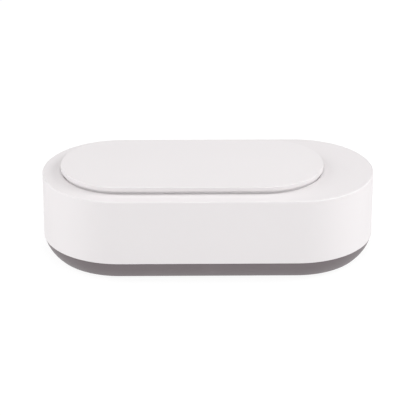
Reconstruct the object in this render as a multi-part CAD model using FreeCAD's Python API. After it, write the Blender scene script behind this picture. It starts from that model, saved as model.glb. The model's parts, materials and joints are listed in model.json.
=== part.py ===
"""Bench-top ultrasonic cleaner: white obround casing over a tapered grey base tray, lift-off lid,
pressed steel tank with a bonded transducer, driver board, rear push button and DC inlet.

Frame: millimetres, origin on the surface it stands on, under the middle of the casing.
+X runs towards the plain deck end, +Y towards the rear, +Z up.
"""

import FreeCAD
import Part
import math
import os

V = FreeCAD.Vector
UP = V(0, 0, 1)
DOWN = V(0, 0, -1)
ALONG = V(1, 0, 0)
REAR = V(0, 1, 0)

# ---------------------------------------------------------------- driving dimensions
LENGTH = 205.0  # casing, end to end
WIDTH = 96.7  # casing, front to rear
FOOT_PROUD = 1.0  # feet below the base tray
BASE_HEIGHT = 11.7  # base tray, bottom to parting line
BODY_HEIGHT = 52.9  # bottom of the base tray to the deck
BASE_INSET = 7.3  # how far the base tray tapers in, all round
BASE_BOW = (1.0, 0.25)  # how far its side bows out between its edges, outside and inside
PARTING_GAP = 0.2  # between the casing's lower edge and the base tray
WALL = 2.2  # casing wall
DECK = 2.4  # deck thickness
RIM_RADIUS = 0.8  # casing's rounded top edge
FLOOR = 2.2  # base tray floor
BASE_WALL = 2.0  # base tray's sloping side

LID_OFFSET = -9.7  # lid and tank centre, along X
LID_STRAIGHT = 44.3  # half of the straight side shared by the lid, well and tank
LID_RADIUS = 37.0  # lid plate's end radius, which is its half width
LID_PROUD = 4.7  # lid top above the deck
FINGER_GAP = 1.75  # deck to the underside of the lid plate
LID_EDGES = (0.3, 0.4)  # rounding of the plate's top and bottom edges
LID_RECESS = 0.6  # shallow recess under the plate that the liner is bonded into
NECK_RADIUS = 35.4  # liner's outside, set back under the plate
LINER_WALL = 1.6
LINER_CORNER = 0.8
WELL_CLEARANCE = 0.6  # liner to the well it drops into
WELL_WALL = 2.0
MOUTH_ROUNDING = 0.3  # of the well's edge in the deck
WELL_DEPTH = 4.0  # deck to the top of the ledge
LEDGE = 2.0  # ledge thickness
LEDGE_RADIUS = 28.5  # ledge's inner edge
SEAT_GAP = 0.1  # lid seal above the ledge
LID_SEAL = (35.2, 33.6, 0.9)  # outer radius, inner radius, thickness of the part that shows
LID_SEAL_TONGUE = (34.8, 34.0, 1.1)  # the same, for the tongue that grips the liner

TANK_RADIUS = 28.9  # inside half width
TANK_SHEET = 0.8
TANK_CORNER = 8.0  # inside radius where the tank's wall meets its floor
TANK_FLOOR_Z = 17.5  # underside of the tank
LIP_ROUNDING = 0.55  # where its wall turns out into the flange
FLANGE_RADIUS = 35.6
GASKET = 1.0
GASKET_RADII = (33.9, 30.5)

FIT = 0.05  # radial gap of a screw in its hole, of a part in its seat
PLAY = 0.2  # looser gap, round a screw's head or past its end
SWING = 0.3  # gap between parts on different bodies
PAST = 1.0  # how far a cutting shape runs past what it cuts
SAME = 1e-6  # two lengths closer than this are the same
ON_OUTLINE = 1e-3  # how close an edge's middle is to the outline it lies on
EXPORT_FOLDER = "parts"

# ---------------------------------------------------------------- worked out from them
HALF_STRAIGHT = (LENGTH - WIDTH) / 2
CASE_RADIUS = WIDTH / 2
INNER_RADIUS = CASE_RADIUS - WALL
Z_BASE = FOOT_PROUD
Z_PART = Z_BASE + BASE_HEIGHT
Z_TRAY_TOP = Z_PART - PARTING_GAP
Z_DECK = Z_BASE + BODY_HEIGHT
Z_CEILING = Z_DECK - DECK
Z_FLOOR = Z_BASE + FLOOR
Z_LID_TOP = Z_DECK + LID_PROUD
Z_PLATE = Z_DECK + FINGER_GAP
WELL_RADIUS = NECK_RADIUS + WELL_CLEARANCE
Z_LEDGE_TOP = Z_DECK - WELL_DEPTH
Z_LINER = Z_LEDGE_TOP + SEAT_GAP + LID_SEAL[2]
Z_LEDGE = Z_LEDGE_TOP - LEDGE
Z_FLANGE_TOP = Z_LEDGE - GASKET
Z_FLANGE = Z_FLANGE_TOP - TANK_SHEET

# Base tray's tongue, which stands up inside the casing and carries the seal
TONGUE_RADIUS = INNER_RADIUS - SWING
TONGUE_WALL = 1.65
TONGUE_HEIGHT = 3.2
TONGUE_ROOT_Z = Z_BASE + 8.5
SEAL_SIZE = 1.0
SEAL_DEPTH = 0.7  # how far the seal sits into the tongue
SEAL_PLAY = 0.1  # groove above and below the seal
SEAL_Z = Z_PART + 0.6

# Screws: shank radius, shank length, head radius, head height
CASE_SCREW = (1.45, 20.0, 2.7, 2.0)
FRAME_SCREW = (1.45, 6.0, 2.7, 1.8)
BOARD_SCREW = (1.2, 5.0, 2.2, 1.5)
HEAD_ROUNDING = 0.4  # of the head's height
CROSS_SLOT = (0.6, 0.22, 0.6)  # half length and width of the head's radius, depth of its height
BOSS_WALL = 1.75
SLIM_BOSS_WALL = 1.4
HOLE_PAST_SCREW = 1.0  # a blind hole goes this much deeper than its screw
CASE_BOSS_TOP = 38.0
CASE_BOSS_HOLE_TOP = 30.0
RIB = 1.6
RIB_FOOT_Z = 17.0
POST_RADIUS = 4.2
HEAD_POCKET = 3.0  # depth of the pocket that hides a case screw's head

SIDES = (-1, 1)
CASE_SCREW_SPOTS = [(x, side * y) for x, y in ((-50.0, 36.0), (6.0, 36.0), (62.0, 33.0)) for side in SIDES]
FRAME_SCREW_SPOTS = [(LID_OFFSET + x, side * 39.3) for x in (-40.0, 0.0, 40.0) for side in SIDES]
FOOT_SPOTS = [(x, y) for x in (-60.0, 60.0) for y in (-22.0, 22.0)]
FOOT_RADIUS = 5.5
FOOT_POCKET = 1.0

# Retaining frame that presses the tank's flange up against the ledge
FRAME_THICK = 2.0
FRAME_INNER = TANK_RADIUS + TANK_SHEET + 0.6
FRAME_OUTER = 37.6
EAR_RADIUS = 3.6

# Transducer under the tank
DISC_RADIUS = 19.0
DISC = 2.6
DISC_CHAMFER = 0.3
BOND = 0.3
BOND_INSET = 0.5

# Driver board, flat in the base tray
BOARD = 1.6
BOARD_Z = Z_FLOOR + 3.0
BOARD_TOP = BOARD_Z + BOARD
BOARD_X = (28.0, 87.0)
BOARD_HALF_WIDTH = 22.0
BOARD_CORNER = 3.0
BOARD_SPOTS = [(32.0, -18.0), (32.0, 18.0), (83.0, -18.0), (83.0, 18.0)]
STANDOFF_RADIUS = 2.6
SOLDER_GAP = 0.1  # under a component's body

# Its components: (middle x, middle y), then sizes along X, Y and Z
TRANSFORMER_AT = (76.0, 0.0)
CORE = (9.0, 17.0, 14.0)
WINDING_LENGTH = 13.0
WINDING_CORNER = 2.0
LIMB = 3.0
CHOKE_AT = (60.0, -11.0)
CHOKE_RING = (5.0, 2.3)  # mean radius, thickness radius
CAN_SPOTS = [(75.0, -15.0), (75.0, 15.0)]
CAN = (4.0, 12.5, 0.6)  # radius, height, rounding
FILM_AT = (46.5, 11.0)
FILM = (13.0, 6.0, 8.0)
FILM_CORNER = 0.5
TRANSISTOR_AT = (42.3, 0.0)
TRANSISTOR = (6.6, 6.0, 2.3)
TRANSISTOR_CHAMFER = 0.25
TRANSISTOR_LEGS = (2.4, 0.8, 0.5)
TRANSISTOR_LEG_Y = 2.2
SINK_AT = (43.0, -0.5)
SINK = (14.0, 13.0, 5.0)
SINK_PLATE = 1.2
SINK_FIN = 0.9
SINK_FINS = 5
CHIP_AT = (41.5, -13.0)
CHIP = (5.0, 4.0, 1.5)
CHIP_LIFT = 0.2
CHIP_PIN = (0.5, 1.0, 0.8)
CHIP_PIN_PITCH = 1.2
CHIP_PINS = 4  # on each side

# Wires and the plugs they end in
LEAD_RADIUS = 0.65
LEAD_PITCH = 2.5
LEAD_Z = BOARD_TOP + 2.6  # height of the wires where they leave a connector
CONNECTOR = (7.0, 6.0, 5.2)  # along the board's edge, inwards, up
CONNECTOR_CORNER = 0.4
CONNECTOR_BORE = 3.0
LEAD_INSERTED = 2.8
CONNECTORS = {
    # name: middle of the mouth on the board's edge, and which way the mouth faces
    "transducer": (V(BOARD_X[0], 0, BOARD_TOP), V(-1, 0, 0)),
    "inlet": (V(38.0, BOARD_HALF_WIDTH, BOARD_TOP), REAR),
    "button": (V(50.0, BOARD_HALF_WIDTH, BOARD_TOP), REAR),
    "indicator": (V(BOARD_X[1], -12.0, BOARD_TOP), ALONG),
}
TRANSDUCER_TURN_X = 17.0
TRANSDUCER_END_X = 4.0
# Bend radius of each pair
TRANSDUCER_BEND = 12.0
DC_BEND = 8.0
BUTTON_BEND = 9.0
INDICATOR_BEND = 7.0

# Rear panel: a shallow pocket in the casing's rear wall with the inlet and the button in it
PANEL_Z = 30.0
PANEL_RADIUS = 8.0
PANEL_X = (20.0, 44.0)  # inlet axis and button axis
POCKET = 1.6
PANEL_FACE_Y = CASE_RADIUS - POCKET
PANEL_INSIDE_Y = PANEL_FACE_Y - WALL
PAD_BORDER = 2.0

CAP_RADIUS = 4.5
CAP_PROUD = 1.2
CAP_CLEARANCE = 0.1
CAP_ROUNDING = 0.6
CAP_DISH = (30.0, 0.25)  # finger dish in the cap's face: radius, depth
CAP_FLANGE = (5.8, 1.1)
CAP_STEM_RADIUS = 1.6
BUTTON_TRAVEL = 1.0
SWITCH_SIZE = (6.0, 3.6)
SWITCH_CHAMFER = 0.3
SWITCH_BOARD = 1.2
SWITCH_BOARD_HALF = 12.5
SWITCH_BOARD_Z = (PANEL_Z - 7.0, PANEL_Z + 6.0)
SWITCH_BOARD_CORNER = 1.5
SWITCH_BOARD_Y = 34.0  # inner face of the button board
BUTTON_LEADS_END_Z = PANEL_Z - 5.0
PLUNGER_RADIUS = 1.75
PLUNGER_SUNK = 1.8  # how far the plunger reaches into the switch
PLUNGER_TIP_Y = 40.4
BUTTON_BOSS_REACH = 9.5  # button axis to the board's screws
SPRING_RADIUS = 4.9
SPRING_WIRE = 0.25
SPRING_TURNS = 5

SOCKET_RADIUS = 4.9
SOCKET_BEZEL = (6.0, 1.2)
BEZEL_ROUNDING = 0.5
SOCKET_BORE = 2.9
SOCKET_BACK_Y = 34.6
SOCKET_STOP_Y = 38.0
SOCKET_PIN = 1.05
PIN_TIP = 0.5  # rounding of the centre contact's tip
PIN_SET_BACK = 0.4  # tip below the panel's face
PIN_TAIL = 1.6
TAB_REACH = 3.6  # inlet axis to the outer contact's solder tab
TAB = (0.8, 2.0, 2.0)
NUT = (6.9, 2.5)  # across corners / 2, thickness

# Indicator under the plain deck
PIPE_X = 86.0
PIPE_RADIUS = 1.5
PIPE_FLANGE = (2.4, 1.0)
INDICATOR_Z = 42.0
INDICATOR_SIZE = (16.0, 22.0, 1.2)
INDICATOR_TOP = INDICATOR_Z + INDICATOR_SIZE[2]
INDICATOR_CORNER = 1.5
INDICATOR_REACH = 8.0
INDICATOR_LEADS_END_Y = -6.0
LED_RADIUS = 1.5
LED_HEIGHT = 3.0
LED_DOME = 1.2
LED_GAP = 0.4  # between the LED's dome and the light pipe


# ---------------------------------------------------------------- shapes used throughout
def obround(half_straight, radius, low, high, x=0.0):
    """Upright prism with straight sides and round ends."""
    a = V(x - half_straight, -radius, low)
    b = V(x + half_straight, -radius, low)
    c = V(x + half_straight, radius, low)
    d = V(x - half_straight, radius, low)
    right = V(x + half_straight + radius, 0, low)
    left = V(x - half_straight - radius, 0, low)
    edges = [
        Part.LineSegment(a, b).toShape(),
        Part.Arc(b, right, c).toShape(),
        Part.LineSegment(c, d).toShape(),
        Part.Arc(d, left, a).toShape(),
    ]
    return Part.Face(Part.Wire(edges)).extrude(V(0, 0, high - low))


def obround_ring(half_straight, outer, inner, low, high, x=0.0):
    hole = obround(half_straight, inner, low - PAST, high + PAST, x)
    return obround(half_straight, outer, low, high, x).cut(hole)


def bowed_obround(half_straight, low_radius, high_radius, low, high, bow):
    """Obround whose side leans out from low_radius to high_radius and bows out between them."""
    run = high_radius - low_radius
    rise = high - low
    slant = math.hypot(run, rise)
    middle_radius = (low_radius + high_radius) / 2 + bow * rise / slant
    middle_z = (low + high) / 2 - bow * run / slant

    def side_arc(side):
        points = ((low_radius, low), (middle_radius, middle_z), (high_radius, high))
        return Part.Arc(*[V(0, side * radius, z) for radius, z in points]).toShape()

    right = side_arc(1)
    left = side_arc(-1)
    floor = Part.makeLine(V(0, -low_radius, low), V(0, low_radius, low))
    roof = Part.makeLine(V(0, -high_radius, high), V(0, high_radius, high))
    section = Part.Face(Part.Wire(Part.__sortEdges__([floor, right, roof, left])))
    middle = section.translated(V(-half_straight, 0, 0)).extrude(V(2 * half_straight, 0, 0))

    edges = [
        Part.makeLine(V(0, 0, low), V(0, low_radius, low)),
        right,
        Part.makeLine(V(0, high_radius, high), V(0, 0, high)),
        Part.makeLine(V(0, 0, high), V(0, 0, low)),
    ]
    half = Part.Face(Part.Wire(Part.__sortEdges__(edges)))
    ends = []
    for side in SIDES:
        end = half.revolve(V(0, 0, 0), V(0, 0, 1), -side * 180)
        ends.append(end.translated(V(side * half_straight, 0, 0)))
    return middle.multiFuse(ends).removeSplitter()


def tray_radius(z):
    """Outside end radius of the base tray at a height, before its side bows out."""
    return CASE_RADIUS - BASE_INSET * (Z_PART - z) / BASE_HEIGHT


def post(radius, low, high, x, y):
    return Part.makeCylinder(radius, high - low, V(x, y, low))


def peg(radius, near_y, far_y, x, z):
    """Cylinder that lies along Y, from near_y to far_y."""
    return Part.makeCylinder(radius, far_y - near_y, V(x, near_y, z), REAR)


def block(x, y, z):
    """Box from three (low, high) pairs."""
    return Part.makeBox(x[1] - x[0], y[1] - y[0], z[1] - z[0], V(x[0], y[0], z[0]))


def brick(at, size, low):
    """Box by its middle (x, y), its size and the height of its underside."""
    half_x = size[0] / 2
    half_y = size[1] / 2
    return block((at[0] - half_x, at[0] + half_x), (at[1] - half_y, at[1] + half_y), (low, low + size[2]))


def edges_at(shape, z):
    """Edges that lie in the plane at z."""
    boxes = [(edge, edge.BoundBox) for edge in shape.Edges]
    return [edge for edge, box in boxes if abs(box.ZMin - z) < SAME and abs(box.ZMax - z) < SAME]


def edges_facing(shape, y):
    """Edges that lie in the upright plane at y."""
    boxes = [(edge, edge.BoundBox) for edge in shape.Edges]
    return [edge for edge, box in boxes if abs(box.YMin - y) < SAME and abs(box.YMax - y) < SAME]


def corners_of(shape, side, length):
    """Edges that run the whole length of a plate's side: "XLength", "YLength" or "ZLength"."""
    return [edge for edge in shape.Edges if abs(getattr(edge.BoundBox, side) - length) < SAME]


def mouth_edges(shape, z, radius):
    """Edges at z on the outline shared by the lid, well and tank, at one end radius."""
    found = []
    for edge in edges_at(shape, z):
        at = edge.valueAt((edge.FirstParameter + edge.LastParameter) / 2)
        beyond = max(0.0, abs(at.x - LID_OFFSET) - LID_STRAIGHT)
        if abs(math.hypot(beyond, at.y) - radius) < ON_OUTLINE:
            found.append(edge)
    return found


def screw(size, at, direction):
    """Pan-head screw: at is the middle of the seat under its head, direction is where it points."""
    shank, length, head, height = size
    body = Part.makeCylinder(shank, length, at, direction)
    top = Part.makeCylinder(head, height, at - direction * height, direction)
    rim = [e for e in top.Edges if (e.CenterOfMass - (at - direction * height)).Length < SAME]
    top = top.makeFillet(height * HEAD_ROUNDING, rim)
    reach = head * CROSS_SLOT[0]
    bit = head * CROSS_SLOT[1]
    depth = height * CROSS_SLOT[2]
    arm = Part.makeBox(2 * reach, bit, depth, V(-reach, -bit / 2, -depth))
    cross = arm.fuse(arm.rotated(V(0, 0, 0), UP, 90))
    turn = FreeCAD.Rotation(DOWN, direction)
    cross.Placement = FreeCAD.Placement(at - direction * height, turn)
    return body.fuse(top).cut(cross)


def rounded_path(points, radius):
    """Wire along straight runs joined by tangent arcs."""
    edges = []
    start = points[0]
    for before, corner, after in zip(points, points[1:], points[2:]):
        back = (before - corner).normalize()
        ahead = (after - corner).normalize()
        half_turn = (math.pi - back.getAngle(ahead)) / 2
        reach = radius * math.tan(half_turn)
        enter = corner + back * reach
        leave = corner + ahead * reach
        middle = (back + ahead).normalize()
        crown = corner + middle * (radius / math.cos(half_turn) - radius)
        edges.append(Part.LineSegment(start, enter).toShape())
        edges.append(Part.Arc(enter, crown, leave).toShape())
        start = leave
    edges.append(Part.LineSegment(start, points[-1]).toShape())
    return Part.Wire(edges)


def lead(points, radius):
    """One insulated wire along a rounded path."""
    path = rounded_path(points, radius)
    circle = Part.Wire(Part.makeCircle(LEAD_RADIUS, points[0], points[1] - points[0]))
    return path.makePipeShell([circle], True, True)


def pair(points, offset, radius):
    """Two leads side by side."""
    return [lead([p + offset * side for p in points], radius) for side in (-0.5, 0.5)]


# ---------------------------------------------------------------- casing and base
def upper_casing():
    shell = obround(HALF_STRAIGHT, CASE_RADIUS, Z_PART, Z_DECK)
    shell = shell.makeFillet(RIM_RADIUS, edges_at(shell, Z_DECK))
    hollow = obround(HALF_STRAIGHT, INNER_RADIUS, Z_PART - PAST, Z_CEILING)
    hollow = hollow.makeFillet(RIM_RADIUS / 2, edges_at(hollow, Z_CEILING))
    shell = shell.cut(hollow).multiFuse(casing_bosses() + button_bosses() + [rear_panel_pad()])

    well = obround(LID_STRAIGHT, WELL_RADIUS, Z_LEDGE_TOP, Z_DECK + PAST, LID_OFFSET)
    shell = shell.cut(well).cut(Part.makeCompound(casing_holes()))
    return shell.makeFillet(MOUTH_ROUNDING, mouth_edges(shell, Z_DECK, WELL_RADIUS))


def casing_bosses():
    """Well wall and screw bosses, each buried half way into the deck."""
    root = Z_CEILING + DECK / 2
    frame_boss = FRAME_SCREW[0] + BOSS_WALL
    case_boss = CASE_SCREW[0] + BOSS_WALL
    board_boss = BOARD_SCREW[0] + BOSS_WALL
    bosses = [obround(LID_STRAIGHT, WELL_RADIUS + WELL_WALL, Z_LEDGE, root, LID_OFFSET)]
    bosses += [post(frame_boss, Z_FLANGE, root, x, y) for x, y in FRAME_SCREW_SPOTS]
    for x, y in CASE_SCREW_SPOTS:
        wall_y = math.copysign(INNER_RADIUS, y)
        bosses.append(post(case_boss, Z_PART, CASE_BOSS_TOP, x, y))
        bosses.append(block((x - RIB / 2, x + RIB / 2), sorted((y, wall_y)), (RIB_FOOT_Z, CASE_BOSS_TOP)))
    for side in SIDES:
        bosses.append(post(board_boss, INDICATOR_TOP, root, PIPE_X, side * INDICATOR_REACH))
    return bosses


def casing_holes():
    frame_hole = FRAME_SCREW[0] + FIT
    case_hole = CASE_SCREW[0] + FIT
    board_hole = BOARD_SCREW[0] + FIT
    holes = [
        obround(LID_STRAIGHT, LEDGE_RADIUS, Z_LEDGE - PAST, Z_LEDGE_TOP + PAST, LID_OFFSET),
        rear_pocket(),
        peg(SOCKET_RADIUS + FIT, PANEL_INSIDE_Y - PAST, CASE_RADIUS, PANEL_X[0], PANEL_Z),
        peg(CAP_RADIUS + CAP_CLEARANCE, PANEL_INSIDE_Y - PAST, CASE_RADIUS, PANEL_X[1], PANEL_Z),
        post(PIPE_RADIUS + FIT, Z_CEILING - PAST, Z_DECK + PAST, PIPE_X, 0),
    ]
    holes += [post(frame_hole, Z_FLANGE - PAST, Z_CEILING, x, y) for x, y in FRAME_SCREW_SPOTS]
    holes += [post(case_hole, Z_PART - PAST, CASE_BOSS_HOLE_TOP, x, y) for x, y in CASE_SCREW_SPOTS]
    indicator_top = INDICATOR_Z + BOARD_SCREW[1] + HOLE_PAST_SCREW
    button_far_y = SWITCH_BOARD_Y + BOARD_SCREW[1] + HOLE_PAST_SCREW
    for side in SIDES:
        holes.append(post(board_hole, INDICATOR_Z, indicator_top, PIPE_X, side * INDICATOR_REACH))
        x = PANEL_X[1] + side * BUTTON_BOSS_REACH
        holes.append(peg(board_hole, SWITCH_BOARD_Y, button_far_y, x, PANEL_Z))
    return holes


def panel_slab(border, near_y, far_y):
    """Obround on its side around the inlet and the button."""
    radius = PANEL_RADIUS + border
    slab = block(PANEL_X, (near_y, far_y), (PANEL_Z - radius, PANEL_Z + radius))
    return slab.multiFuse([peg(radius, near_y, far_y, x, PANEL_Z) for x in PANEL_X]).removeSplitter()


def rear_panel_pad():
    return panel_slab(PAD_BORDER, PANEL_INSIDE_Y, INNER_RADIUS + WALL / 2)


def rear_pocket():
    return panel_slab(0.0, PANEL_FACE_Y, CASE_RADIUS + PAST)


def button_bosses():
    radius = BOARD_SCREW[0] + SLIM_BOSS_WALL
    face = SWITCH_BOARD_Y + SWITCH_BOARD
    spots = [PANEL_X[1] + side * BUTTON_BOSS_REACH for side in SIDES]
    return [peg(radius, face, PANEL_INSIDE_Y + WALL / 2, x, PANEL_Z) for x in spots]


def base_tray():
    radii = (tray_radius(Z_BASE), tray_radius(Z_TRAY_TOP))
    tray = bowed_obround(HALF_STRAIGHT, *radii, Z_BASE, Z_TRAY_TOP, BASE_BOW[0])
    tray = tray.fuse(obround(HALF_STRAIGHT, TONGUE_RADIUS, TONGUE_ROOT_Z, Z_TRAY_TOP + TONGUE_HEIGHT))
    neck = TONGUE_RADIUS - TONGUE_WALL
    floor_radius = tray_radius(Z_FLOOR) - BASE_WALL
    low = bowed_obround(HALF_STRAIGHT, floor_radius, neck, Z_FLOOR, TONGUE_ROOT_Z, BASE_BOW[1])
    high = obround(HALF_STRAIGHT, neck, TONGUE_ROOT_Z, Z_TRAY_TOP + TONGUE_HEIGHT + PAST)
    groove = (SEAL_Z - SEAL_PLAY, SEAL_Z + SEAL_SIZE + SEAL_PLAY)
    seat = obround_ring(HALF_STRAIGHT, TONGUE_RADIUS + PAST, TONGUE_RADIUS - SEAL_DEPTH, *groove)
    tray = tray.cut(low).cut(high).cut(seat)

    added = [post(POST_RADIUS, Z_FLOOR - FLOOR / 2, Z_PART - FIT, x, y) for x, y in CASE_SCREW_SPOTS]
    added += [post(STANDOFF_RADIUS, Z_FLOOR - FLOOR / 2, BOARD_Z, x, y) for x, y in BOARD_SPOTS]
    tray = tray.multiFuse(added)

    cuts = []
    for x, y in CASE_SCREW_SPOTS:
        cuts.append(post(CASE_SCREW[0] + FIT, Z_BASE, Z_PART + PAST, x, y))
        cuts.append(post(CASE_SCREW[2] + PLAY, Z_BASE - PAST, Z_BASE + HEAD_POCKET, x, y))
    for x, y in FOOT_SPOTS:
        cuts.append(post(FOOT_RADIUS + FIT, Z_BASE - PAST, Z_BASE + FOOT_POCKET, x, y))
    for x, y in BOARD_SPOTS:
        cuts.append(post(BOARD_SCREW[0] + FIT, BOARD_TOP - BOARD_SCREW[1] - PLAY, BOARD_TOP, x, y))
    return tray.cut(Part.makeCompound(cuts))


def case_seal():
    outer = TONGUE_RADIUS + SWING - FIT
    inner = TONGUE_RADIUS - SEAL_DEPTH + FIT
    return obround_ring(HALF_STRAIGHT, outer, inner, SEAL_Z, SEAL_Z + SEAL_SIZE)


def rubber_feet():
    feet = []
    for x, y in FOOT_SPOTS:
        foot = post(FOOT_RADIUS, 0, FOOT_PROUD + FOOT_POCKET, x, y)
        feet.append(foot.makeFillet(FOOT_PROUD / 2, edges_at(foot, 0)))
    return feet


def case_screws():
    seat = Z_BASE + HEAD_POCKET
    return [screw(CASE_SCREW, V(x, y, seat), UP) for x, y in CASE_SCREW_SPOTS]


# ---------------------------------------------------------------- lid
def lid_plate():
    plate = obround(LID_STRAIGHT, LID_RADIUS, Z_PLATE, Z_LID_TOP, LID_OFFSET)
    plate = plate.makeFillet(LID_EDGES[0], edges_at(plate, Z_LID_TOP))
    plate = plate.makeFillet(LID_EDGES[1], edges_at(plate, Z_PLATE))
    recess = (Z_PLATE - PAST, Z_PLATE + LID_RECESS)
    return plate.cut(obround(LID_STRAIGHT, NECK_RADIUS + FIT, *recess, LID_OFFSET))


def lid_liner():
    """Shallow cup bonded into the plate's recess: its side is the lid's neck, its floor faces the tank."""
    cup = obround(LID_STRAIGHT, NECK_RADIUS, Z_LINER, Z_PLATE + LID_RECESS, LID_OFFSET)
    hollow = obround(LID_STRAIGHT, NECK_RADIUS - LINER_WALL, Z_LINER + LINER_WALL, Z_LID_TOP, LID_OFFSET)
    hollow = hollow.makeFillet(LINER_CORNER, edges_at(hollow, Z_LINER + LINER_WALL))
    outer, inner, height = LID_SEAL_TONGUE
    groove = (Z_LINER - PAST, Z_LINER + height + SEAL_PLAY)
    return cup.cut(hollow).cut(obround_ring(LID_STRAIGHT, outer, inner, *groove, LID_OFFSET))


def lid_seal():
    outer, inner, thick = LID_SEAL
    ring = obround_ring(LID_STRAIGHT, outer, inner, Z_LINER - thick, Z_LINER, LID_OFFSET)
    outer, inner, height = LID_SEAL_TONGUE
    low = Z_LINER - thick / 2
    return ring.fuse(obround_ring(LID_STRAIGHT, outer - FIT, inner + FIT, low, Z_LINER + height, LID_OFFSET))


# ---------------------------------------------------------------- tank
def tank():
    wall = obround(LID_STRAIGHT, TANK_RADIUS + TANK_SHEET, TANK_FLOOR_Z, Z_FLANGE_TOP, LID_OFFSET)
    wall = wall.makeFillet(TANK_CORNER + TANK_SHEET, edges_at(wall, TANK_FLOOR_Z))
    flange = obround(LID_STRAIGHT, FLANGE_RADIUS, Z_FLANGE, Z_FLANGE_TOP, LID_OFFSET)
    bath = obround(LID_STRAIGHT, TANK_RADIUS, TANK_FLOOR_Z + TANK_SHEET, Z_DECK, LID_OFFSET)
    bath = bath.makeFillet(TANK_CORNER, edges_at(bath, TANK_FLOOR_Z + TANK_SHEET))
    pressed = wall.fuse(flange).cut(bath)
    return pressed.makeFillet(LIP_ROUNDING, mouth_edges(pressed, Z_FLANGE_TOP, TANK_RADIUS))


def tank_gasket():
    return obround_ring(LID_STRAIGHT, *GASKET_RADII, Z_FLANGE_TOP, Z_LEDGE, LID_OFFSET)


def tank_retaining_frame():
    low = Z_FLANGE - FRAME_THICK
    frame = obround(LID_STRAIGHT, FRAME_OUTER, low, Z_FLANGE, LID_OFFSET)
    frame = frame.multiFuse([post(EAR_RADIUS, low, Z_FLANGE, x, y) for x, y in FRAME_SCREW_SPOTS])
    holes = [post(FRAME_SCREW[0] + FIT, low - PAST, Z_FLANGE + PAST, x, y) for x, y in FRAME_SCREW_SPOTS]
    holes.append(obround(LID_STRAIGHT, FRAME_INNER, low - PAST, Z_FLANGE + PAST, LID_OFFSET))
    return frame.cut(Part.makeCompound(holes))


def retaining_screws():
    seat = Z_FLANGE - FRAME_THICK
    return [screw(FRAME_SCREW, V(x, y, seat), UP) for x, y in FRAME_SCREW_SPOTS]


def transducer_bond():
    return post(DISC_RADIUS - BOND_INSET, TANK_FLOOR_Z - BOND, TANK_FLOOR_Z, LID_OFFSET, 0)


def transducer_disc():
    low = TANK_FLOOR_Z - BOND - DISC
    disc = post(DISC_RADIUS, low, low + DISC, LID_OFFSET, 0)
    return disc.makeChamfer(DISC_CHAMFER, edges_at(disc, low))


# ---------------------------------------------------------------- driver board
def driver_board():
    board = block(BOARD_X, (-BOARD_HALF_WIDTH, BOARD_HALF_WIDTH), (BOARD_Z, BOARD_TOP))
    board = board.makeFillet(BOARD_CORNER, corners_of(board, "ZLength", BOARD))
    holes = [post(BOARD_SCREW[0] + FIT, BOARD_Z - PAST, BOARD_TOP + PAST, x, y) for x, y in BOARD_SPOTS]
    return board.cut(Part.makeCompound(holes))


def driver_board_screws():
    return [screw(BOARD_SCREW, V(x, y, BOARD_TOP), DOWN) for x, y in BOARD_SPOTS]


def transformer_core():
    """Ferrite core: an outer frame and a middle limb, with two windows between them."""
    x, y = TRANSFORMER_AT
    length, width, height = CORE
    low = BOARD_TOP + SOLDER_GAP
    core = brick(TRANSFORMER_AT, CORE, low)
    window = (low + LIMB, low + height - LIMB)
    for side in SIDES:
        near = y + side * LIMB
        far = y + side * (width - LIMB) / 2
        core = core.cut(block((x - length, x + length), sorted((near, far)), window))
    return core


def transformer_winding():
    """Taped coil on its bobbin, around the core's middle limb."""
    low = BOARD_TOP + SOLDER_GAP + LIMB + FIT
    height = CORE[2] - 2 * (LIMB + FIT)
    coil = brick(TRANSFORMER_AT, (WINDING_LENGTH, CORE[1] - LIMB - 2 * FIT, height), low)
    coil = coil.makeFillet(WINDING_CORNER, corners_of(coil, "ZLength", height))
    limb = (CORE[0] + 2 * FIT, 2 * (LIMB + FIT), height + 2 * PAST)
    return coil.cut(brick(TRANSFORMER_AT, limb, low - PAST))


def output_choke():
    """Toroid with its winding as one coated ring."""
    mean, thick = CHOKE_RING
    return Part.makeTorus(mean, thick, V(*CHOKE_AT, BOARD_TOP + SOLDER_GAP + thick))


def electrolytic_capacitors():
    radius, height, rounding = CAN
    low = BOARD_TOP + SOLDER_GAP
    cans = [post(radius, low, low + height, x, y) for x, y in CAN_SPOTS]
    return [can.makeFillet(rounding, edges_at(can, low + height)) for can in cans]


def film_capacitor():
    case = brick(FILM_AT, FILM, BOARD_TOP + SOLDER_GAP)
    return case.makeFillet(FILM_CORNER, case.Edges)


def power_transistor():
    low = BOARD_TOP + SOLDER_GAP
    x, y = TRANSISTOR_AT
    body = brick(TRANSISTOR_AT, TRANSISTOR, low)
    body = body.makeChamfer(TRANSISTOR_CHAMFER, edges_at(body, low + TRANSISTOR[2]))
    leg_x = x + (TRANSISTOR[0] + TRANSISTOR_LEGS[0]) / 2
    legs = [brick((leg_x, y + side * TRANSISTOR_LEG_Y), TRANSISTOR_LEGS, low) for side in SIDES]
    return body.multiFuse(legs)


def heat_sink():
    x, y = SINK_AT
    length, width, height = SINK
    low = BOARD_TOP + SOLDER_GAP + TRANSISTOR[2]
    sink = brick(SINK_AT, (length, width, SINK_PLATE), low)
    first = y - (width - SINK_FIN) / 2
    pitch = (width - SINK_FIN) / (SINK_FINS - 1)
    fin = (length, SINK_FIN, height - SINK_PLATE)
    fins = [brick((x, first + i * pitch), fin, low + SINK_PLATE) for i in range(SINK_FINS)]
    return sink.multiFuse(fins).removeSplitter()


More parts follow.
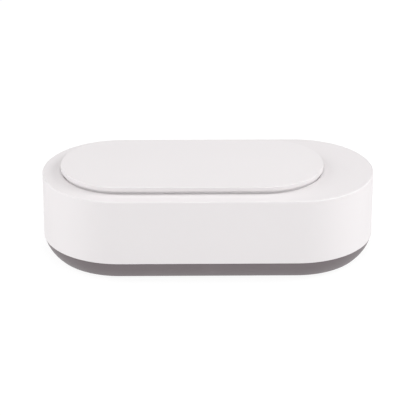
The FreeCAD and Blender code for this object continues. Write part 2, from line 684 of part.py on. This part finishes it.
def controller_chip():
    x, y = CHIP_AT
    chip = brick(CHIP_AT, CHIP, BOARD_TOP + CHIP_LIFT)
    row_y = (CHIP[1] + CHIP_PIN[1]) / 2
    pins = []
    for i in range(CHIP_PINS):
        pin_x = x + (i - (CHIP_PINS - 1) / 2) * CHIP_PIN_PITCH
        pins += [brick((pin_x, y + side * row_y), CHIP_PIN, BOARD_TOP) for side in SIDES]
    return chip.multiFuse(pins)


def wire_connectors():
    """Side-entry plugs and headers, each with two wire holes in its mouth."""
    width, depth, height = CONNECTOR
    made = []
    for mouth, facing in CONNECTORS.values():
        shell = Part.makeBox(depth, width, height, V(-depth, -width / 2, 0))
        shell = shell.makeFillet(CONNECTOR_CORNER, corners_of(shell, "XLength", depth))
        for side in SIDES:
            at = V(-CONNECTOR_BORE, side * LEAD_PITCH / 2, LEAD_Z - BOARD_TOP)
            shell = shell.cut(Part.makeCylinder(LEAD_RADIUS + FIT, CONNECTOR_BORE, at, ALONG))
        shell.Placement = FreeCAD.Placement(mouth, FreeCAD.Rotation(ALONG, facing))
        made.append(shell)
    return made


# ---------------------------------------------------------------- rear button
def power_button():
    x = PANEL_X[1]
    face = PANEL_FACE_Y + CAP_PROUD
    flange_y = PANEL_INSIDE_Y - SWING
    cap = peg(CAP_RADIUS, flange_y, face, x, PANEL_Z)
    cap = cap.makeFillet(CAP_ROUNDING, edges_facing(cap, face))
    dish_radius, dish_depth = CAP_DISH
    cap = cap.cut(Part.makeSphere(dish_radius, V(x, face - dish_depth + dish_radius, PANEL_Z)))
    flange = peg(CAP_FLANGE[0], flange_y - CAP_FLANGE[1], flange_y, x, PANEL_Z)
    stem = peg(CAP_STEM_RADIUS, PLUNGER_TIP_Y, flange_y, x, PANEL_Z)
    return cap.multiFuse([flange, stem])


def switch_plunger():
    foot = SWITCH_BOARD_Y + SWITCH_BOARD + SWITCH_SIZE[1] - PLUNGER_SUNK
    return peg(PLUNGER_RADIUS, foot, PLUNGER_TIP_Y, PANEL_X[1], PANEL_Z)


def push_switch():
    half = SWITCH_SIZE[0] / 2
    face = SWITCH_BOARD_Y + SWITCH_BOARD
    top = face + SWITCH_SIZE[1]
    x = PANEL_X[1]
    body = block((x - half, x + half), (face, top), (PANEL_Z - half, PANEL_Z + half))
    body = body.makeChamfer(SWITCH_CHAMFER, corners_of(body, "YLength", SWITCH_SIZE[1]))
    well = PLUNGER_SUNK + BUTTON_TRAVEL + SWING
    return body.cut(peg(PLUNGER_RADIUS + CAP_CLEARANCE, top - well, top + PAST, x, PANEL_Z))


def button_return_spring():
    low = SWITCH_BOARD_Y + SWITCH_BOARD + SPRING_WIRE
    high = PANEL_INSIDE_Y - SWING - CAP_FLANGE[1] - SPRING_WIRE
    helix = Part.makeHelix((high - low) / SPRING_TURNS, high - low, SPRING_RADIUS)
    wire_end = Part.Wire(Part.makeCircle(SPRING_WIRE, V(SPRING_RADIUS, 0, 0), REAR))
    coil = Part.Wire(helix).makePipeShell([wire_end], True, True)
    coil.Placement = FreeCAD.Placement(V(PANEL_X[1], low, PANEL_Z), FreeCAD.Rotation(UP, REAR))
    return coil


def button_board():
    x = PANEL_X[1]
    depth = (SWITCH_BOARD_Y, SWITCH_BOARD_Y + SWITCH_BOARD)
    board = block((x - SWITCH_BOARD_HALF, x + SWITCH_BOARD_HALF), depth, SWITCH_BOARD_Z)
    board = board.makeFillet(SWITCH_BOARD_CORNER, corners_of(board, "YLength", SWITCH_BOARD))
    for side in SIDES:
        at = x + side * BUTTON_BOSS_REACH
        board = board.cut(peg(BOARD_SCREW[0] + FIT, SWITCH_BOARD_Y - PAST, PANEL_INSIDE_Y, at, PANEL_Z))
    return board


def button_board_screws():
    spots = [PANEL_X[1] + side * BUTTON_BOSS_REACH for side in SIDES]
    return [screw(BOARD_SCREW, V(x, SWITCH_BOARD_Y, PANEL_Z), REAR) for x in spots]


# ---------------------------------------------------------------- DC inlet
def dc_socket():
    x = PANEL_X[0]
    bezel_y = PANEL_FACE_Y + SOCKET_BEZEL[1]
    bezel = peg(SOCKET_BEZEL[0], PANEL_FACE_Y, bezel_y, x, PANEL_Z)
    bezel = bezel.makeFillet(BEZEL_ROUNDING, edges_facing(bezel, bezel_y))
    body = bezel.fuse(peg(SOCKET_RADIUS, SOCKET_BACK_Y, PANEL_FACE_Y, x, PANEL_Z))
    body = body.cut(peg(SOCKET_BORE, SOCKET_STOP_Y, bezel_y + PAST, x, PANEL_Z))
    body = body.fuse(brick((x - TAB_REACH, SOCKET_BACK_Y - TAB[1] / 2), TAB, PANEL_Z - TAB[2] / 2))
    return body.cut(peg(SOCKET_PIN + FIT, SOCKET_BACK_Y - PAST, SOCKET_STOP_Y + PAST, x, PANEL_Z))


def dc_socket_pin():
    """Centre contact, with its solder tail behind the socket."""
    tip_y = PANEL_FACE_Y - PIN_SET_BACK
    pin = peg(SOCKET_PIN, SOCKET_BACK_Y - PIN_TAIL, tip_y, PANEL_X[0], PANEL_Z)
    return pin.makeFillet(PIN_TIP, edges_facing(pin, tip_y))


def dc_socket_nut():
    x = PANEL_X[0]
    reach, thick = NUT
    near_y = PANEL_INSIDE_Y - thick
    turns = [math.radians(a) for a in range(0, 361, 60)]
    corners = [V(x + reach * math.cos(a), near_y, PANEL_Z + reach * math.sin(a)) for a in turns]
    nut = Part.Face(Part.makePolygon(corners)).extrude(V(0, thick, 0))
    return nut.cut(peg(SOCKET_RADIUS + FIT, near_y - PAST, PANEL_INSIDE_Y + PAST, x, PANEL_Z))


# ---------------------------------------------------------------- indicator
def light_pipe():
    rod = post(PIPE_RADIUS, INDICATOR_TOP + LED_HEIGHT + LED_GAP, Z_DECK, PIPE_X, 0)
    return rod.fuse(post(PIPE_FLANGE[0], Z_CEILING - PIPE_FLANGE[1], Z_CEILING, PIPE_X, 0))


def indicator_led():
    body = post(LED_RADIUS, INDICATOR_TOP, INDICATOR_TOP + LED_HEIGHT, PIPE_X, 0)
    return body.makeFillet(LED_DOME, edges_at(body, INDICATOR_TOP + LED_HEIGHT))


def indicator_board():
    board = brick((PIPE_X, 0.0), INDICATOR_SIZE, INDICATOR_Z)
    board = board.makeFillet(INDICATOR_CORNER, corners_of(board, "ZLength", INDICATOR_SIZE[2]))
    hole = BOARD_SCREW[0] + FIT
    spots = [side * INDICATOR_REACH for side in SIDES]
    return board.cut(Part.makeCompound([post(hole, INDICATOR_Z - PAST, Z_CEILING, PIPE_X, y) for y in spots]))


def indicator_screws():
    return [screw(BOARD_SCREW, V(PIPE_X, side * INDICATOR_REACH, INDICATOR_Z), UP) for side in SIDES]


# ---------------------------------------------------------------- wiring
def lead_start(name):
    """Where a connector's pair begins, inside its mouth."""
    mouth, facing = CONNECTORS[name]
    return V(mouth.x, mouth.y, LEAD_Z) - facing * LEAD_INSERTED


def transducer_leads():
    """Pair to the transducer's lower face."""
    disc_face = TANK_FLOOR_Z - BOND - DISC
    turn = V(TRANSDUCER_TURN_X, 0, LEAD_Z)
    end = V(TRANSDUCER_END_X, 0, disc_face - LEAD_RADIUS - FIT)
    return pair([lead_start("transducer"), turn, end], V(0, LEAD_PITCH, 0), TRANSDUCER_BEND)


def dc_leads():
    """One wire to the inlet's centre contact, one beside it to the outer contact's tab."""
    start = lead_start("inlet")
    half = V(LEAD_PITCH / 2, 0, 0)
    inner = start - half
    outer = start + half
    inner_y = SOCKET_BACK_Y - TAB[1] / 2
    outer_y = inner_y + PIN_TAIL
    pin_x = PANEL_X[0]
    tab_x = pin_x - TAB_REACH
    to_pin = [
        inner,
        V(inner.x, inner_y, LEAD_Z),
        V(pin_x, inner_y, LEAD_Z),
        V(pin_x, inner_y, PANEL_Z - SOCKET_PIN - FIT),
    ]
    to_tab = [
        outer,
        V(outer.x, outer_y, LEAD_Z),
        V(tab_x, outer_y, LEAD_Z),
        V(tab_x, inner_y, PANEL_Z - NUT[0]),
        V(tab_x, inner_y, PANEL_Z - TAB[2] / 2 - FIT),
    ]
    return [lead(to_pin, DC_BEND), lead(to_tab, DC_BEND)]


def button_leads():
    """Pair up the face of the button's board."""
    start = lead_start("button")
    y = SWITCH_BOARD_Y - LEAD_RADIUS - FIT
    end = V(start.x, y, BUTTON_LEADS_END_Z)
    return pair([start, V(start.x, y, LEAD_Z), end], V(LEAD_PITCH, 0, 0), BUTTON_BEND)


def indicator_leads():
    """Pair up to the underside of the indicator board."""
    start = lead_start("indicator")
    corner = V(PIPE_X + INDICATOR_SIZE[0] / 2 - INDICATOR_CORNER, start.y, LEAD_Z)
    end = V(corner.x, INDICATOR_LEADS_END_Y, INDICATOR_Z - PLAY)
    return pair([start, corner, end], V(0, LEAD_PITCH, 0), INDICATOR_BEND)


def build():
    os.makedirs(EXPORT_FOLDER, exist_ok=True)
    makers = [
        upper_casing, base_tray, case_seal, rubber_feet, case_screws,
        lid_plate, lid_liner, lid_seal,
        tank, tank_gasket, tank_retaining_frame, retaining_screws, transducer_bond, transducer_disc,
        driver_board, driver_board_screws, transformer_core, transformer_winding, output_choke,
        electrolytic_capacitors, film_capacitor, power_transistor, heat_sink, controller_chip,
        wire_connectors,
        power_button, switch_plunger, push_switch, button_return_spring, button_board,
        button_board_screws,
        dc_socket, dc_socket_pin, dc_socket_nut,
        light_pipe, indicator_led, indicator_board, indicator_screws,
        transducer_leads, dc_leads, button_leads, indicator_leads,
    ]
    for maker in makers:
        made = maker()
        shape = Part.makeCompound(made) if isinstance(made, list) else made
        shape.exportStep(f"{EXPORT_FOLDER}/{maker.__name__}.step")
        print(maker.__name__, len(shape.Solids), round(shape.Volume, 1), shape.isValid())


build()
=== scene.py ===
import json
import math

import bpy
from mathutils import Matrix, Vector


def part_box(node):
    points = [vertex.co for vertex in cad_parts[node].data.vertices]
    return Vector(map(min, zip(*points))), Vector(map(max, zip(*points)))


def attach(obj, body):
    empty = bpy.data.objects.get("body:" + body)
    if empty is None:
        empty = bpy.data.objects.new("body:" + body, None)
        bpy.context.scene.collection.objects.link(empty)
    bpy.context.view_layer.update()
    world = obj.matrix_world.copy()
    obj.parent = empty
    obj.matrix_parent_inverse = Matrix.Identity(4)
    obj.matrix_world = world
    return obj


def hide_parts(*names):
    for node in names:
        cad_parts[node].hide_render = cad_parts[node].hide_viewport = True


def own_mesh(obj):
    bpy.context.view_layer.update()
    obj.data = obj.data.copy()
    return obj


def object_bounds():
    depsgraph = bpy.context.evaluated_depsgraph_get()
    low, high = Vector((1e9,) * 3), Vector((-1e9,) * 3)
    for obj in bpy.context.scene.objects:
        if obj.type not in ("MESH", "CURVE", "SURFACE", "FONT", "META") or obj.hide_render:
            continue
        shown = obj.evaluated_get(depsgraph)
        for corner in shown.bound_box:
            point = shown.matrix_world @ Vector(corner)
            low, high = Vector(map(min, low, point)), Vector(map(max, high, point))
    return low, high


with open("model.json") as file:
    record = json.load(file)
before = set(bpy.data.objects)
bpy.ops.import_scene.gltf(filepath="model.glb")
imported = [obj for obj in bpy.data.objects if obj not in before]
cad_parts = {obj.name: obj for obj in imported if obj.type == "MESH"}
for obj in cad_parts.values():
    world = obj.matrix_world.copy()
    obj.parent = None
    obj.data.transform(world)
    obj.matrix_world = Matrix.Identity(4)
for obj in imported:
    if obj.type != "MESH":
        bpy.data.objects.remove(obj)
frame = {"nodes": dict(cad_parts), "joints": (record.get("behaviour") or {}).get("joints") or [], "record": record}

cad_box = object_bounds()
record = frame["record"]
nodes = frame["nodes"]
slots = {m["slot"]: m for m in record["materials"]}
slot_of = {s["node"]: s["material_slot"] for s in record["subparts"]}

MM = 0.001

# ---------------------------------------------------------------- camera
CAMERA_ELEVATION = math.radians(25.68)
CAMERA_TURN = math.radians(0.62)
CAMERA_DISTANCE = 1.42
CAMERA_LENS = 195.05
CAMERA_SHIFT = (0.0004, 0.0931)  # of the picture's width
AIM_HEIGHT = 1.0 * MM


def make_camera():
    aim = Vector((0, 0, AIM_HEIGHT))
    flat = math.cos(CAMERA_ELEVATION)
    back = Vector((
        -flat * math.sin(CAMERA_TURN),
        -flat * math.cos(CAMERA_TURN),
        math.sin(CAMERA_ELEVATION),
    ))
    data = bpy.data.cameras.new("camera")
    data.lens = CAMERA_LENS
    data.sensor_width = 36.0
    data.shift_x, data.shift_y = CAMERA_SHIFT
    data.clip_start = 0.1
    data.clip_end = 50.0
    camera = bpy.data.objects.new("camera", data)
    camera.location = aim + back * CAMERA_DISTANCE
    camera.rotation_mode = "QUATERNION"
    camera.rotation_quaternion = (-back).to_track_quat("-Z", "Y")
    bpy.context.scene.collection.objects.link(camera)
    bpy.context.scene.camera = camera


# ---------------------------------------------------------------- studio
FLOOR_REACH = 6.0
FLOOR_ALBEDO = 0.15
FLOOR_GLOW = 0.885  # the table is lit from below, so the object throws almost no shadow
SKY = 0.075

# name: (place, size, power); each is aimed at the middle of the object
SOFTBOXES = {
    "top": ((0.0, 0.2, 1.6), (1.2, 1.2), 5.4),
    "front_high": ((0.0, -0.9, 1.4), (1.4, 0.8), 7.7),
    "front": ((0.0, -1.4, 1.0), (1.6, 0.8), 4.5),
    "front_low": ((0.0, -1.55, 0.65), (1.8, 0.6), 6.5),
    "right": ((1.2, 0.1, 0.85), (0.8, 0.8), 11.9),
    "right_low": ((1.5, 0.3, 0.3), (0.6, 0.4), 1.4),
    "left": ((-1.2, 0.1, 0.85), (0.8, 0.8), 8.0),
    "left_low": ((-1.5, 0.3, 0.3), (0.6, 0.4), 3.2),
}


def make_floor():
    mesh = bpy.data.meshes.new("floor")
    corners = [(x * FLOOR_REACH, y * FLOOR_REACH, 0) for x, y in ((-1, -1), (1, -1), (1, 1), (-1, 1))]
    mesh.from_pydata(corners, [], [(0, 1, 2, 3)])
    floor = bpy.data.objects.new("floor", mesh)
    bpy.context.scene.collection.objects.link(floor)
    material = bpy.data.materials.new("floor_acrylic")
    material.use_nodes = True
    shader = material.node_tree.nodes["Principled BSDF"]
    shader.inputs["Base Color"].default_value = (FLOOR_ALBEDO, FLOOR_ALBEDO, FLOOR_ALBEDO, 1)
    shader.inputs["Roughness"].default_value = 0.9
    shader.inputs["Specular IOR Level"].default_value = 0.1
    shader.inputs["Emission Color"].default_value = (1, 1, 1, 1)
    shader.inputs["Emission Strength"].default_value = FLOOR_GLOW
    floor.data.materials.append(material)


def softbox(name, place, size, power, aim):
    data = bpy.data.lights.new(name, "AREA")
    data.shape = "RECTANGLE"
    data.size, data.size_y = size
    data.energy = power
    lamp = bpy.data.objects.new(name, data)
    lamp.location = place
    lamp.rotation_mode = "QUATERNION"
    lamp.rotation_quaternion = (aim - Vector(place)).to_track_quat("-Z", "Y")
    bpy.context.scene.collection.objects.link(lamp)


def make_studio():
    world = bpy.data.worlds.new("studio")
    world.use_nodes = True
    background = world.node_tree.nodes["Background"]
    background.inputs["Color"].default_value = (1, 1, 1, 1)
    background.inputs["Strength"].default_value = SKY
    bpy.context.scene.world = world
    aim = (cad_box[0] + cad_box[1]) / 2
    for name, (place, size, power) in SOFTBOXES.items():
        softbox(name, place, size, power, aim)
    bpy.context.scene.view_settings.view_transform = "Standard"


# ---------------------------------------------------------------- shader pieces
class Shade:
    """One procedural material and the few operations its look is made of."""

    def __init__(self, name):
        self.material = bpy.data.materials.new(name)
        self.material.use_nodes = True
        self.tree = self.material.node_tree
        self.shader = self.tree.nodes["Principled BSDF"]

    def feed(self, socket, value):
        """Link a socket to an output, or set it to a plain value."""
        if isinstance(value, bpy.types.NodeSocket):
            self.tree.links.new(value, socket)
        else:
            socket.default_value = value

    def node(self, kind, **settings):
        made = self.tree.nodes.new(kind)
        for key, value in settings.items():
            setattr(made, key, value)
        return made

    def place(self, stretch=(1, 1, 1)):
        """Position in the object's own frame, in metres, stretched along its axes."""
        where = self.node("ShaderNodeTexCoord")
        mapping = self.node("ShaderNodeMapping")
        mapping.inputs["Scale"].default_value = stretch
        self.feed(mapping.inputs["Vector"], where.outputs["Object"])
        return mapping.outputs["Vector"]

    def noise(self, scale, detail=4.0, stretch=(1, 1, 1), rough=0.5):
        """Noise with about scale features per metre."""
        texture = self.node("ShaderNodeTexNoise")
        texture.inputs["Scale"].default_value = scale
        texture.inputs["Detail"].default_value = detail
        texture.inputs["Roughness"].default_value = rough
        self.feed(texture.inputs["Vector"], self.place(stretch))
        return texture.outputs["Fac"]

    def cells(self, scale):
        texture = self.node("ShaderNodeTexVoronoi")
        texture.inputs["Scale"].default_value = scale
        self.feed(texture.inputs["Vector"], self.place())
        return texture.outputs["Distance"]

    def grid(self, scale, line):
        """Lines of staggered rectangles in the XY plane."""
        texture = self.node("ShaderNodeTexBrick", offset=0.37, squash=0.6)
        texture.inputs["Scale"].default_value = scale
        texture.inputs["Mortar Size"].default_value = line
        texture.inputs["Mortar Smooth"].default_value = 0.3
        self.feed(texture.inputs["Vector"], self.place())
        return texture.outputs["Fac"]

    def bands(self, scale, axis, twist=0.0):
        """Even bands along one axis of the object."""
        texture = self.node("ShaderNodeTexWave", wave_type="BANDS", bands_direction=axis)
        texture.inputs["Scale"].default_value = scale
        texture.inputs["Distortion"].default_value = twist
        self.feed(texture.inputs["Vector"], self.place())
        return texture.outputs["Fac"]

    def remap(self, value, low, high, start=0.0, end=1.0):
        """Value from start..end to low..high, held at the ends."""
        span = self.node("ShaderNodeMapRange")
        self.feed(span.inputs["Value"], value)
        span.inputs["From Min"].default_value = start
        span.inputs["From Max"].default_value = end
        span.inputs["To Min"].default_value = low
        span.inputs["To Max"].default_value = high
        return span.outputs["Result"]

    def math(self, operation, a, b=0.0):
        made = self.node("ShaderNodeMath", operation=operation)
        self.feed(made.inputs[0], a)
        self.feed(made.inputs[1], b)
        return made.outputs["Value"]

    def mix(self, factor, a, b):
        made = self.node("ShaderNodeMix", data_type="RGBA")
        for key, value in (("Factor", factor), ("A", a), ("B", b)):
            self.feed(made.inputs[key], value)
        return made.outputs["Result"]

    def tones(self, color, value, amount):
        """The colour, drifting by a share of itself."""
        dark = [c * (1 - amount) for c in color[:3]] + [1]
        light = [min(1, c * (1 + amount)) for c in color[:3]] + [1]
        return self.mix(value, dark, light)

    def axis(self, name):
        """One coordinate in the object's own frame."""
        parts = self.node("ShaderNodeSeparateXYZ")
        self.feed(parts.inputs["Vector"], self.place())
        return parts.outputs[name]

    def relief(self, layers):
        """Bump layers, each (height value, height in metres, strength), one on another."""
        normal = None
        for value, distance, strength in layers:
            bump = self.node("ShaderNodeBump")
            bump.inputs["Distance"].default_value = distance
            bump.inputs["Strength"].default_value = strength
            self.feed(bump.inputs["Height"], value)
            if normal is not None:
                self.feed(bump.inputs["Normal"], normal)
            normal = bump.outputs["Normal"]
        self.feed(self.shader.inputs["Normal"], normal)

    def set(self, **values):
        """Principled inputs by name, with spaces written as underscores."""
        for key, value in values.items():
            self.feed(self.shader.inputs[key.replace("_", " ")], value)
        return self.material


# ---------------------------------------------------------------- looks
def moulded(name, color, rough, grain=1400.0, depth=0.02, vary=0.012, gloss=0.5):
    """Injection moulded plastic: spark-eroded grain, a drift in tone, flow marks and rubbed spots."""
    s = Shade(name)
    drift = s.noise(12.0, 2.0)
    patches = s.noise(45.0, 5.0)
    rubbed = s.remap(s.noise(240.0, 3.0, (1, 0.25, 1)), 0.0, 1.0, 0.62, 0.74)
    sheen = s.remap(patches, rough - 0.05, rough + 0.05)
    sheen = s.math("SUBTRACT", sheen, s.math("MULTIPLY", rubbed, 0.05))
    s.relief([(s.noise(grain, 2.0), depth * MM, 0.3), (s.noise(30.0, 1.0), 0.05 * MM, 0.08)])
    return s.set(Base_Color=s.tones(color, drift, vary), Roughness=sheen, Specular_IOR_Level=gloss)


def worn_tray(name, color):
    """Coarser charge-textured base, a little paler where it is handled and dusty in its grain."""
    s = Shade(name)
    grain = s.noise(1100.0, 3.0)
    dust = s.remap(s.noise(70.0, 6.0), 0.0, 0.12, 0.5, 0.8)
    tone = s.mix(dust, s.tones(color, s.noise(16.0, 3.0), 0.04), [min(1, c * 1.6) for c in color[:3]] + [1])
    s.relief([(grain, 0.04 * MM, 0.35)])
    return s.set(Base_Color=tone, Roughness=s.remap(s.noise(60.0, 5.0), 0.4, 0.5), Specular_IOR_Level=0.5)


def rubber(name, color, depth=0.03):
    """Soft matt moulding with a dusty bloom."""
    s = Shade(name)
    bloom = s.remap(s.noise(160.0, 6.0), 0.0, 0.25, 0.45, 0.8)
    tone = s.mix(bloom, s.tones(color, s.noise(40.0), 0.08), [min(1, c + 0.06) for c in color[:3]] + [1])
    s.relief([(s.noise(900.0, 3.0), depth * MM, 0.4)])
    return s.set(Base_Color=tone, Roughness=s.remap(s.noise(90.0), 0.62, 0.82), Specular_IOR_Level=0.35)


def silicone(name, color):
    """Slightly clear seal material."""
    made = rubber(name, color, 0.01)
    shader = made.node_tree.nodes["Principled BSDF"]
    shader.inputs["Subsurface Weight"].default_value = 0.3
    shader.inputs["Subsurface Radius"].default_value = (1.0, 1.0, 1.0)
    shader.inputs["Subsurface Scale"].default_value = 0.8 * MM
    return made


def drawn_steel(name, color, rough):
    """Pressed stainless sheet: satin lines along the tank, water spots and fine scratches."""
    s = Shade(name)
    lines = s.noise(2600.0, 4.0, (0.03, 1, 1), 0.6)
    spots = s.remap(s.cells(160.0), 1.0, 0.0, 0.05, 0.12)
    scratches = s.remap(s.noise(700.0, 2.0, (0.06, 1.2, 0.5)), 0.0, 1.0, 0.68, 0.74)
    clouds = s.noise(35.0, 5.0)
    shine = s.math("ADD", s.remap(lines, rough - 0.07, rough + 0.07), s.math("MULTIPLY", spots, 0.08))
    shine = s.math("SUBTRACT", shine, s.math("MULTIPLY", scratches, 0.1))
    s.relief([(lines, 0.006 * MM, 0.35), (scratches, 0.01 * MM, 0.2)])
    return s.set(Base_Color=s.tones(color, clouds, 0.05), Metallic=1.0, Roughness=shine, Anisotropic=0.4)


def plated(name, color, rough):
    """Plated or polished small metal: soft mottling, tool marks and dull spots."""
    s = Shade(name)
    mottle = s.noise(900.0, 5.0)
    dull = s.remap(s.noise(300.0, 4.0), 0.0, 0.18, 0.5, 0.75)
    s.relief([(s.noise(4000.0, 2.0, (1, 1, 0.2)), 0.004 * MM, 0.3)])
    shine = s.math("ADD", s.remap(mottle, rough - 0.05, rough + 0.05), dull)
    return s.set(Base_Color=s.tones(color, mottle, 0.08), Metallic=1.0, Roughness=shine)


def extruded(name, color, rough):
    """Extruded aluminium: die lines along X."""
    s = Shade(name)
    lines = s.noise(3000.0, 3.0, (0.02, 1, 1))
    s.relief([(lines, 0.01 * MM, 0.4)])
    tone = s.tones(color, s.noise(200.0), 0.06)
    return s.set(Base_Color=tone, Metallic=1.0, Roughness=s.remap(lines, rough - 0.1, rough + 0.1))


def solder_mask(name, color):
    """Board: glossy mask over slightly raised tracks that turn at right angles."""
    s = Shade(name)
    routed = s.remap(s.noise(150.0, 1.0), 0.0, 1.0, 0.46, 0.5)
    track = s.math("MULTIPLY", s.grid(115.0, 0.035), routed)
    copper = [color[0] + 0.05, color[1] * 1.7, color[2] + 0.03, 1]
    tone = s.mix(track, s.tones(color, s.noise(120.0), 0.1), copper)
    s.relief([(track, 0.035 * MM, 0.6), (s.noise(2500.0), 0.004 * MM, 0.3)])
    return s.set(Base_Color=tone, Roughness=s.remap(s.noise(400.0), 0.2, 0.32))


def sintered(name, color):
    """Ferrite or ceramic: fine pits with painted shade in them, and pale ground spots."""
    s = Shade(name)
    pits = s.remap(s.cells(1800.0), 0.0, 1.0, 0.1, 0.4)
    ground = s.remap(s.noise(220.0, 6.0), 0.0, 0.5, 0.5, 0.8)
    # painted shade: the colour is darker in the pits, where the relief is lowest
    tone = s.mix(ground, s.tones(color, pits, 0.15), [min(1, c * 1.5 + 0.02) for c in color[:3]] + [1])
    s.relief([(pits, 0.02 * MM, 0.5)])
    return s.set(Base_Color=tone, Roughness=s.remap(pits, 0.62, 0.42))


def wound(name, color, scale, rough):
    """Turns of tape or wire as raised bands across Z, with painted shade in the grooves between them."""
    s = Shade(name)
    turns = s.bands(scale, "Z", 0.4)
    s.relief([(turns, 0.08 * MM, 0.7), (s.noise(900.0), 0.01 * MM, 0.3)])
    # painted shade: the colour darkens to 0.6 in the low grooves between the turns
    tone = s.mix(turns, [c * 0.6 for c in color[:3]] + [1], s.tones(color, s.noise(150.0), 0.1))
    return s.set(Base_Color=tone, Roughness=s.remap(turns, rough + 0.12, rough))


def capped(name, color, node):
    """Capacitor sleeve with a bare aluminium top and a pale stripe down one side."""
    low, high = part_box(node)
    s = Shade(name)
    top = s.math("GREATER_THAN", s.axis("Z"), high[2] - 0.35 * MM)
    stripe = s.math("GREATER_THAN", s.axis("X"), high[0] - 0.5 * MM)
    sleeve = s.mix(stripe, s.tones(color, s.noise(200.0), 0.15), [0.55, 0.56, 0.58, 1])
    tone = s.mix(top, sleeve, s.tones([0.62, 0.62, 0.64], s.noise(900.0), 0.06))
    s.relief([(s.noise(700.0, 3.0), 0.01 * MM, 0.4)])
    return s.set(Base_Color=tone, Metallic=top, Roughness=s.remap(s.noise(500.0), 0.24, 0.34))


def flexed(name, color):
    """PVC wire cover: soft shine, scuffs and a slight waviness along its length."""
    s = Shade(name)
    scuffs = s.remap(s.noise(500.0, 5.0), 0.0, 0.15, 0.5, 0.75)
    s.relief([(s.noise(260.0, 2.0), 0.06 * MM, 0.3), (s.noise(2500.0), 0.006 * MM, 0.3)])
    tone = s.tones(color, s.noise(110.0), 0.12)
    return s.set(Base_Color=tone, Roughness=s.math("ADD", s.remap(s.noise(300.0), 0.34, 0.44), scuffs))


def milky(name, color, weight, rough=0.2, gloss=0.5):
    """Light pipe, lens or cured resin: cloudy and slightly clear."""
    s = Shade(name)
    clouds = s.noise(600.0, 4.0)
    s.relief([(s.noise(1800.0, 2.0), 0.005 * MM, 0.3)])
    return s.set(
        Base_Color=s.tones(color, clouds, 0.05), Roughness=s.remap(clouds, rough, rough + 0.1),
        Specular_IOR_Level=gloss, Subsurface_Weight=weight, Subsurface_Scale=1.0 * MM,
    )


CASING_TONE = 0.98  # the casing is a shade duller than the lid

LOOKS = {
    "tray_grey": worn_tray,
    "foot_rubber": rubber,
    "silicone": silicone,
    "tank_steel": lambda n, c: drawn_steel(n, c, 0.3),
    "screw_steel": lambda n, c: plated(n, c, 0.3),
    "spring_steel": lambda n, c: plated(n, c, 0.22),
    "contact_nickel": lambda n, c: plated(n, c, 0.16),
    "sink_aluminium": lambda n, c: extruded(n, c, 0.4),
    "piezo_ceramic": sintered,
    "ferrite": sintered,
    "board": solder_mask,
    "coil_tape": lambda n, c: wound(n, c, 260.0, 0.3),
    "choke_coat": lambda n, c: wound(n, c, 420.0, 0.35),
    "can_sleeve": lambda n, c: capped(n, c, "electrolytic_capacitors"),
    "epoxy": lambda n, c: milky(n, c, 0.4),
    "pipe_milky": lambda n, c: milky(n, [x * CASING_TONE for x in c], 0.05, 0.5, 0.3),
    "led_lens": lambda n, c: milky(n, c, 0.6),
    "wire_red": flexed,
    "wire_black": flexed,
    "wire_white": flexed,
    "wire_blue": flexed,
    "casing_white": lambda n, c: moulded(n, [x * CASING_TONE for x in c], 0.58, gloss=0.3),
    "lid_white": lambda n, c: moulded(n, c, 0.56, gloss=0.3),
    "button_white": lambda n, c: moulded(n, c, 0.4, 2200.0, 0.012),
    "liner_plastic": lambda n, c: moulded(n, c, 0.5, 1800.0, 0.015, gloss=0.3),
    "frame_black": lambda n, c: moulded(n, c, 0.5, 800.0, 0.05, 0.1),
    "film_case": lambda n, c: moulded(n, c, 0.25, 300.0, 0.06, 0.08),
    "chip_black": lambda n, c: moulded(n, c, 0.5, 2600.0, 0.02, 0.1),
    "connector_nylon": lambda n, c: moulded(n, c, 0.42, 900.0, 0.02, 0.05),
    "socket_black": lambda n, c: moulded(n, c, 0.28, 2000.0, 0.015, 0.1),
}


def dress_nodes():
    made = {slot: look(slot, slots[slot]["base_color"]) for slot, look in LOOKS.items()}
    for name, node in nodes.items():
        node.data.materials.clear()
        node.data.materials.append(made[slot_of[name]])


def spring_that_shortens():
    """The button's return spring again, as a piece of its own, hung on the housing."""
    joint = next(j for j in frame["joints"] if j["name"] == "button_press")
    squeezed = joint["deforming_nodes"][0]
    name = squeezed["node"]
    spring = bpy.data.objects.new("squeezed_spring", nodes[name].data.copy())
    bpy.context.scene.collection.objects.link(spring)
    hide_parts(name)
    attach(spring, "housing")
    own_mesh(spring)


make_camera()
make_studio()
make_floor()
dress_nodes()
spring_that_shortens()
